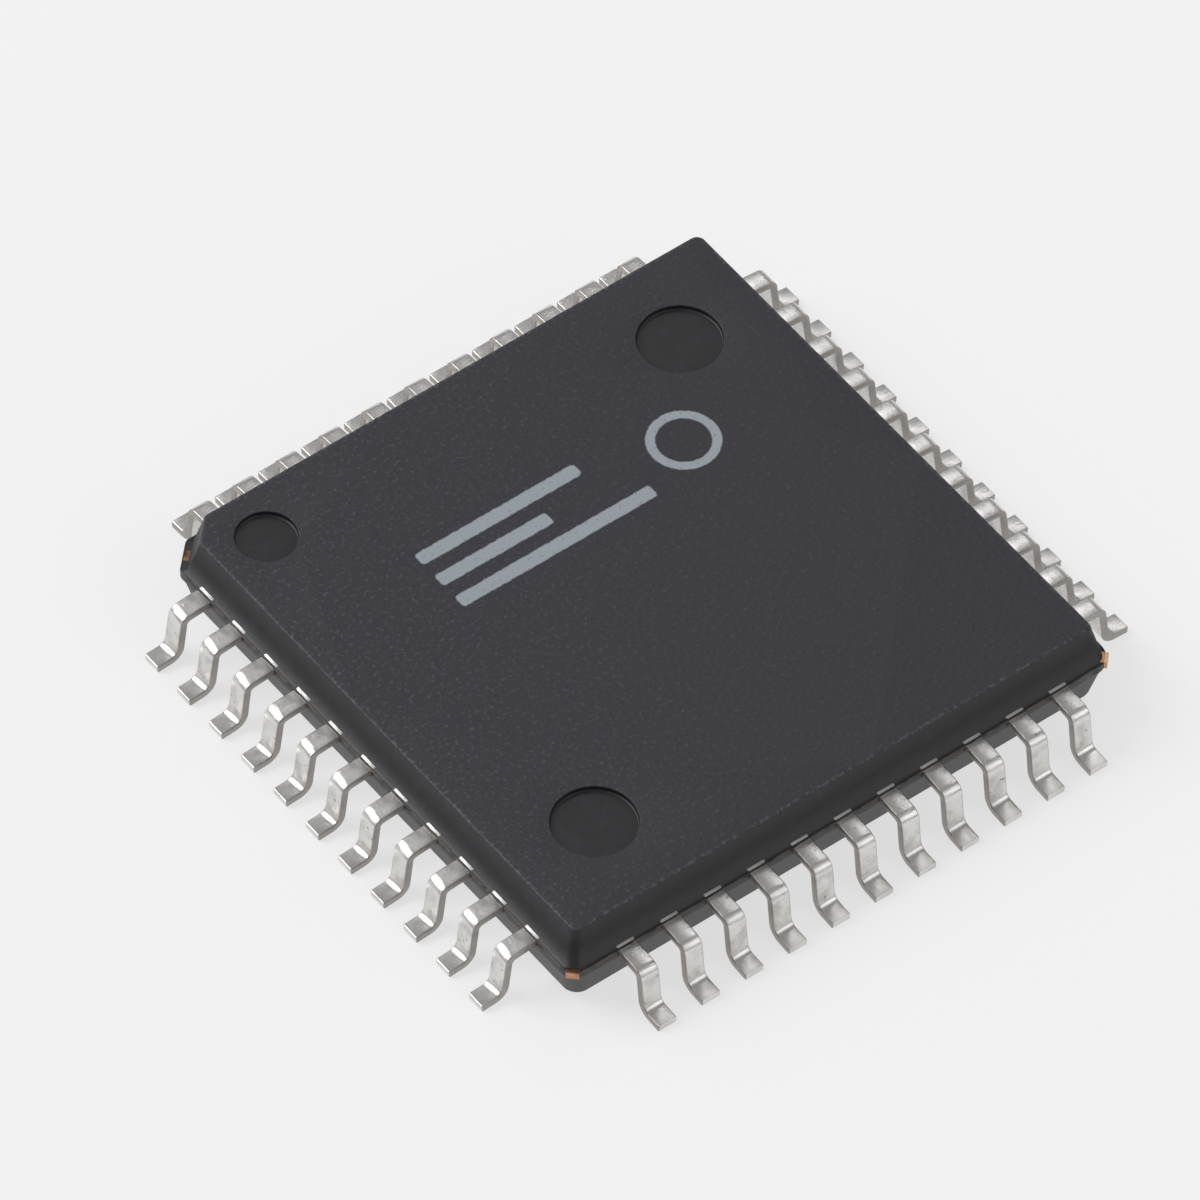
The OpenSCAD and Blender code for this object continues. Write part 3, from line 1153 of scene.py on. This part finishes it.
@dataclass(frozen=True)
class SealedPieces:
    """The pieces inside the moulding, which keep their own solids."""

    finishes: tuple[tuple[str, InnerFinish], ...] = (
        ("die_pad", LEAD_FRAME_COPPER),
        ("die_attach", SILVER_EPOXY),
        ("die", SILICON),
        *((f"bond_wires_{side.name.lower()}", BOND_GOLD) for side in Side),
    )

    def dress(self) -> None:
        """Gives each solid its finish."""
        made: dict[str, bpy.types.Material] = {}
        for name, finish in self.finishes:
            if finish.name not in made:
                made[finish.name] = finish.build()
            mesh = frame["nodes"][name].data
            mesh.materials.clear()
            mesh.materials.append(made[finish.name])
            log.info("sealed piece %s: %s", name, finish.name)


# Studio


@dataclass(frozen=True)
class Softbox:
    """A rectangular lamp that faces the chip. Degrees and metres."""

    name: str
    azimuth: float
    elevation: float
    size: tuple[float, float]
    radiance: float
    distance: float = 0.5
    tint: Colour = (1.0, 1.0, 1.0)

    def build(self) -> None:
        """Hangs the lamp, with its power from the radiance of its face."""
        lamp = bpy.data.lights.new(self.name, "AREA")
        lamp.shape = "RECTANGLE"
        lamp.size, lamp.size_y = self.size
        lamp.energy = self.radiance * math.pi * self.size[0] * self.size[1]
        lamp.color = self.tint
        holder = bpy.data.objects.new(self.name, lamp)
        azimuth, elevation = math.radians(self.azimuth), math.radians(self.elevation)
        direction = Vector((
            math.cos(azimuth) * math.cos(elevation),
            math.sin(azimuth) * math.cos(elevation),
            math.sin(elevation),
        ))
        holder.location = direction * self.distance
        holder.rotation_euler = direction.to_track_quat("Z", "Y").to_euler()
        bpy.context.scene.collection.objects.link(holder)


@dataclass(frozen=True)
class Studio:
    """The pale floor, the world round it and the lamps."""

    floor_half: float = 1.5
    floor_colour: Colour = (0.80, 0.80, 0.80)
    shadow_share: float = 0.34
    room: float = 0.30
    softboxes: tuple[Softbox, ...] = (
        Softbox("key_softbox", 128.0, 42.0, (0.34, 0.30), 5.2),
        Softbox("fill_softbox", -60.0, 35.0, (0.45, 0.30), 1.1),
        Softbox("rim_softbox", 40.0, 48.0, (0.16, 0.16), 1.6),
    )

    def build(self) -> None:
        """Lays the floor, sets the world and hangs the lamps."""
        self._floor()
        self._world()
        for softbox in self.softboxes:
            softbox.build()

    def _floor(self) -> None:
        """Lays a floor that is white to the camera but keeps the chip's shadow."""
        build = bmesh.new()
        bmesh.ops.create_grid(build, x_segments=1, y_segments=1, size=self.floor_half / MM)
        floor = new_piece("studio_floor", build)
        shader = Shader("studio_floor", Base_Color=self.floor_colour, Roughness=0.9, Specular_IOR_Level=0.0)
        tree = shader.tree
        glow = shader.node("ShaderNodeEmission", {}, {"Color": (1.0, 1.0, 1.0), "Strength": 1.0})
        rays = shader.node("ShaderNodeLightPath", {}, {})
        camera_ray = Value(shader, rays.outputs["Is Camera Ray"])
        seen = camera_ray.max(Value(shader, rays.outputs["Is Glossy Ray"]))
        mixed = tree.nodes.new("ShaderNodeMixShader")
        tree.links.new((seen * (1.0 - self.shadow_share)).socket, mixed.inputs[0])
        tree.links.new(shader.surface.outputs[0], mixed.inputs[1])
        tree.links.new(glow.outputs[0], mixed.inputs[2])
        tree.links.new(mixed.outputs[0], shader.output.inputs["Surface"])
        floor.data.materials.append(shader.material)

    def _world(self) -> None:
        """Sets a dim grey room that is white where the camera looks past the floor."""
        world = bpy.data.worlds.new("studio_room")
        bpy.context.scene.world = world
        world.use_nodes = True
        tree = world.node_tree
        tree.nodes.clear()
        room = tree.nodes.new("ShaderNodeBackground")
        room.inputs["Color"].default_value = (self.room, self.room, self.room, 1.0)
        white = tree.nodes.new("ShaderNodeBackground")
        white.inputs["Color"].default_value = (1.0, 1.0, 1.0, 1.0)
        rays = tree.nodes.new("ShaderNodeLightPath")
        mixed = tree.nodes.new("ShaderNodeMixShader")
        output = tree.nodes.new("ShaderNodeOutputWorld")
        tree.links.new(rays.outputs["Is Camera Ray"], mixed.inputs[0])
        tree.links.new(room.outputs[0], mixed.inputs[1])
        tree.links.new(white.outputs[0], mixed.inputs[2])
        tree.links.new(mixed.outputs[0], output.inputs["Surface"])


@dataclass(frozen=True)
class ProductCamera:
    """A long lens that looks down on the chip's front left corner. Degrees and millimetres."""

    azimuth: float = -37.693
    elevation: float = 50.329
    roll: float = 0.672
    aside: float = -0.547
    above: float = 0.683
    distance: float = 250.025
    lens: float = 505.31
    sensor: float = 36.0
    nearest: float = 10.0
    farthest: float = 20000.0

    def build(self) -> None:
        """Places the camera and makes it the scene's own."""
        azimuth, elevation = math.radians(self.azimuth), math.radians(self.elevation)
        back = Vector((
            math.sin(azimuth) * math.cos(elevation),
            -math.cos(azimuth) * math.cos(elevation),
            math.sin(elevation),
        ))
        level = Vector((math.cos(azimuth), math.sin(azimuth), 0.0))
        axes = Matrix((level, back.cross(level), back)).transposed() @ Matrix.Rotation(
            math.radians(self.roll), 3, "Z"
        )
        camera = bpy.data.cameras.new("product_camera")
        camera.lens = self.lens
        camera.sensor_width = self.sensor
        camera.clip_start = self.nearest * MM
        camera.clip_end = self.farthest * MM
        holder = bpy.data.objects.new("product_camera", camera)
        place = (axes @ Vector((self.aside, self.above, self.distance))) * MM
        holder.matrix_world = Matrix.Translation(place) @ axes.to_4x4()
        bpy.context.scene.collection.objects.link(holder)
        bpy.context.scene.camera = holder


def main() -> None:
    """Builds the camera, then the chip's pieces in order, then the studio."""
    logging.basicConfig(level=logging.INFO, format="%(name)s: %(message)s")
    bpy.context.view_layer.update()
    bpy.context.scene.view_settings.view_transform = "Standard"
    ProductCamera().build()
    body = MouldedBody()
    body.dress(body.build())
    LeadRow(body).dress()
    SealedPieces().dress()
    Studio().build()


if __name__ == "__main__":
    main()
